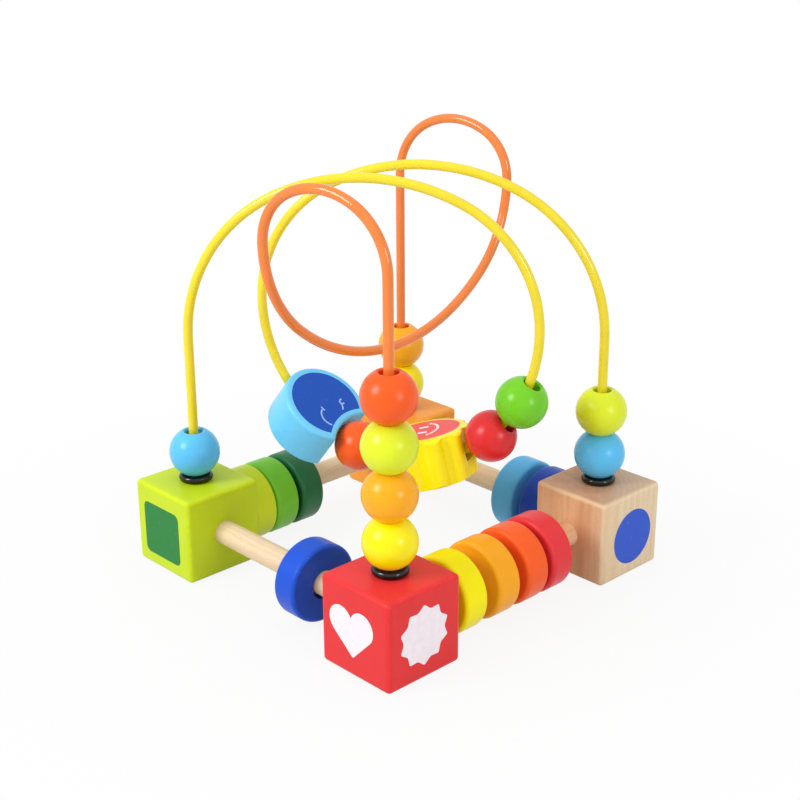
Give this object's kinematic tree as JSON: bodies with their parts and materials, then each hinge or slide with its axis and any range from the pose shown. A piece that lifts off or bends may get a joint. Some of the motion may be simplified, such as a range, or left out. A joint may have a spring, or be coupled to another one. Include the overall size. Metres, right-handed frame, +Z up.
{
  "type": "bead maze",
  "caption": "Wooden bead maze: looping wires on a square base of corner blocks and dowels, with beads, discs, a sun and a moon that slide along them.",
  "frame": {"origin": "middle of the square base, on the table", "axes": "+Z up; X and Y run along the base's dowels"},
  "size_m": [0.17, 0.17, 0.1938],
  "materials": {
    "natural_wood": "satin",
    "red_paint": "satin",
    "lime_paint": "satin",
    "orange_paint": "satin",
    "yellow_coating": "gloss",
    "orange_coating": "gloss",
    "black_rubber": "gloss",
    "disc_royal_blue": "satin",
    "disc_yellow": "satin",
    "disc_light_orange": "satin",
    "disc_orange": "satin",
    "disc_red": "satin",
    "disc_lime": "satin",
    "disc_green": "satin",
    "disc_dark_green": "satin",
    "disc_dark_blue": "satin",
    "disc_light_blue": "satin",
    "bead_yellow": "gloss",
    "bead_orange": "gloss",
    "bead_lime": "gloss",
    "bead_red_orange": "gloss",
    "bead_light_blue": "gloss",
    "bead_red": "gloss",
    "bead_green": "gloss",
    "sun_yellow": "satin",
    "moon_blue": "satin",
    "white_print": "satin",
    "green_print": "satin",
    "blue_print": "satin",
    "pink_print": "satin",
    "navy_print": "satin"
  },
  "bodies": {
    "frame": {"red_cube": "red_paint", "lime_cube": "lime_paint", "wood_cube": "natural_wood", "orange_cube": "orange_paint", "dowel_front_left": "natural_wood", "dowel_front_right": "natural_wood", "dowel_back_left": "natural_wood", "dowel_back_right": "natural_wood", "yellow_wire": "yellow_coating", "orange_wire": "orange_coating", "grommet_front": "black_rubber", "grommet_left": "black_rubber", "grommet_right": "black_rubber", "grommet_back": "black_rubber"},
    "disc_royal_blue": {"disc_royal_blue": "disc_royal_blue"},
    "disc_yellow": {"disc_yellow": "disc_yellow"},
    "disc_light_orange": {"disc_light_orange": "disc_light_orange"},
    "disc_orange": {"disc_orange": "disc_orange"},
    "disc_red": {"disc_red": "disc_red"},
    "disc_lime": {"disc_lime": "disc_lime"},
    "disc_green": {"disc_green": "disc_green"},
    "disc_dark_green": {"disc_dark_green": "disc_dark_green"},
    "disc_dark_blue": {"disc_dark_blue": "disc_dark_blue"},
    "disc_light_blue": {"disc_light_blue": "disc_light_blue"},
    "bead_front_1": {"bead_front_1": "bead_yellow"},
    "bead_front_2": {"bead_front_2": "bead_orange"},
    "bead_front_3": {"bead_front_3": "bead_lime"},
    "bead_front_4": {"bead_front_4": "bead_red_orange"},
    "bead_left_1": {"bead_left_1": "bead_light_blue"},
    "bead_right_1": {"bead_right_1": "bead_light_blue"},
    "bead_right_2": {"bead_right_2": "bead_lime"},
    "bead_back_1": {"bead_back_1": "bead_yellow"},
    "bead_back_2": {"bead_back_2": "bead_orange"},
    "sun": {"sun": "sun_yellow"},
    "loop_bead_red": {"loop_bead_red": "bead_red"},
    "loop_bead_green": {"loop_bead_green": "bead_green"},
    "loop_bead_orange": {"loop_bead_orange": "bead_red_orange"},
    "moon": {"moon": "moon_blue"}
  },
  "joints": [
    {"name": "disc_royal_blue_slide", "type": "slide", "parent": "frame", "child": "disc_royal_blue", "axis": [1, 0, 0], "range_m": [-0.0559, 0.0209]},
    {"name": "disc_yellow_slide", "type": "slide", "parent": "frame", "child": "disc_yellow", "axis": [0, 1, 0], "range_m": [-0.0064, 0.0069]},
    {"name": "disc_light_orange_slide", "type": "slide", "parent": "frame", "child": "disc_light_orange", "axis": [0, 1, 0], "range_m": [-0.0069, 0.0049]},
    {"name": "disc_orange_slide", "type": "slide", "parent": "frame", "child": "disc_orange", "axis": [0, 1, 0], "range_m": [-0.0049, 0.0029]},
    {"name": "disc_red_slide", "type": "slide", "parent": "frame", "child": "disc_red", "axis": [0, 1, 0], "range_m": [-0.0029, 0.0164]},
    {"name": "disc_lime_slide", "type": "slide", "parent": "frame", "child": "disc_lime", "axis": [0, 1, 0], "range_m": [-0.0002, 0.0155]},
    {"name": "disc_green_slide", "type": "slide", "parent": "disc_lime", "child": "disc_green", "axis": [0, 1, 0], "range_m": [-0.0004, 0.0155]},
    {"name": "disc_dark_green_slide", "type": "slide", "parent": "disc_green", "child": "disc_dark_green", "axis": [0, 1, 0], "range_m": [-0.0022, 0.0165]},
    {"name": "disc_dark_blue_slide", "type": "slide", "parent": "frame", "child": "disc_dark_blue", "axis": [-1, 0, 0], "range_m": [-0.0002, 0.029]},
    {"name": "disc_light_blue_slide", "type": "slide", "parent": "disc_dark_blue", "child": "disc_light_blue", "axis": [-1, 0, 0], "range_m": [-0.0047, 0.0295]},
    {"name": "bead_front_1_slide", "type": "slide", "parent": "frame", "child": "bead_front_1", "axis": [0, 0, 1], "range_m": [0, 0.009]},
    {"name": "bead_front_2_slide", "type": "slide", "parent": "bead_front_1", "child": "bead_front_2", "axis": [0, 0, 1], "range_m": [0, 0.009]},
    {"name": "bead_front_3_slide", "type": "slide", "parent": "bead_front_2", "child": "bead_front_3", "axis": [0, 0, 1], "range_m": [0, 0.009]},
    {"name": "bead_front_4_slide", "type": "slide", "parent": "bead_front_3", "child": "bead_front_4", "axis": [0, 0, 1], "range_m": [0, 0.009]},
    {"name": "bead_left_1_slide", "type": "slide", "parent": "frame", "child": "bead_left_1", "axis": [0, 0, 1], "range_m": [0, 0.0435]},
    {"name": "bead_right_1_slide", "type": "slide", "parent": "frame", "child": "bead_right_1", "axis": [0, 0, 1], "range_m": [0, 0.0115]},
    {"name": "bead_right_2_slide", "type": "slide", "parent": "bead_right_1", "child": "bead_right_2", "axis": [0, 0, 1], "range_m": [0, 0.0115]},
    {"name": "bead_back_1_slide", "type": "slide", "parent": "frame", "child": "bead_back_1", "axis": [0, 0, 1], "range_m": [0, 0.038]},
    {"name": "bead_back_2_slide", "type": "slide", "parent": "bead_back_1", "child": "bead_back_2", "axis": [0, 0, 1], "range_m": [0, 0.038]},
    {"name": "sun_travel", "type": "hinge", "parent": "frame", "child": "sun", "pos_m": [0, 0, 0.11864], "axis": [0.3803, -0.9249, 0], "range_deg": [-0.6, 6]},
    {"name": "loop_bead_red_travel", "type": "hinge", "parent": "sun", "child": "loop_bead_red", "pos_m": [0, 0, 0.11864], "axis": [0.3803, -0.9249, 0], "range_deg": [-0.3, 6]},
    {"name": "loop_bead_green_travel", "type": "hinge", "parent": "loop_bead_red", "child": "loop_bead_green", "pos_m": [0, 0, 0.11864], "axis": [0.3803, -0.9249, 0], "range_deg": [0, 6]},
    {"name": "loop_bead_orange_travel", "type": "hinge", "parent": "frame", "child": "loop_bead_orange", "pos_m": [0, 0, 0.11864], "axis": [0.3803, -0.9249, 0], "range_deg": [-14, 0.6]},
    {"name": "moon_travel", "type": "hinge", "parent": "loop_bead_orange", "child": "moon", "pos_m": [0, 0, 0.11864], "axis": [0.3803, -0.9249, 0], "range_deg": [-16, 0]}
  ]
}
